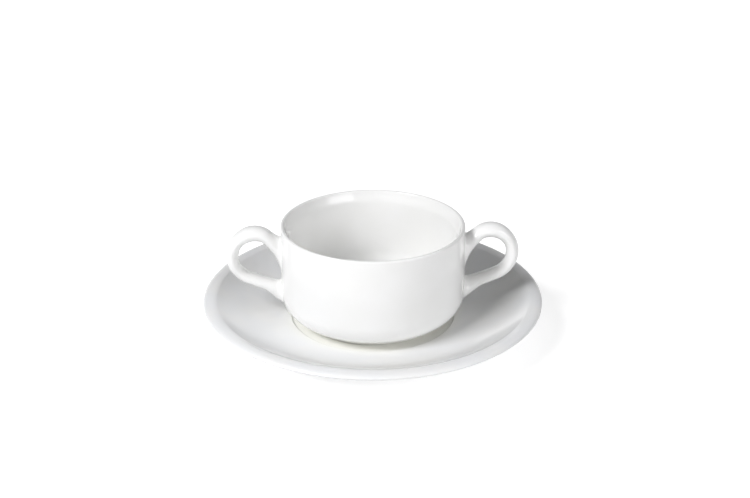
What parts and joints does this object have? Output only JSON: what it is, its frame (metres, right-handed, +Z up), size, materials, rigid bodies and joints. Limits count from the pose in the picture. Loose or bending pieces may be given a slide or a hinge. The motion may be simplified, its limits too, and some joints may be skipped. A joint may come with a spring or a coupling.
{
  "type": "lug soup bowl with saucer",
  "caption": "Stacking soup bowl with a loop handle on each side, standing loose in the well of a round saucer with a rolled edge.",
  "frame": {"origin": "middle of the saucer's underside, on the table", "axes": "+Z up along the axis of the bowl and saucer; the handles lie along +X and -X"},
  "size_m": [0.179, 0.179, 0.0594],
  "materials": {
    "glazed_porcelain": "gloss"
  },
  "bodies": {
    "saucer": {"saucer": "glazed_porcelain"},
    "cup": {"bowl": "glazed_porcelain", "handle_left": "glazed_porcelain", "handle_right": "glazed_porcelain"}
  },
  "joints": [
    {"name": "bowl_lift", "type": "slide", "parent": "saucer", "child": "cup", "axis": [0, 0, 1], "range_m": [0, 0.08]}
  ]
}
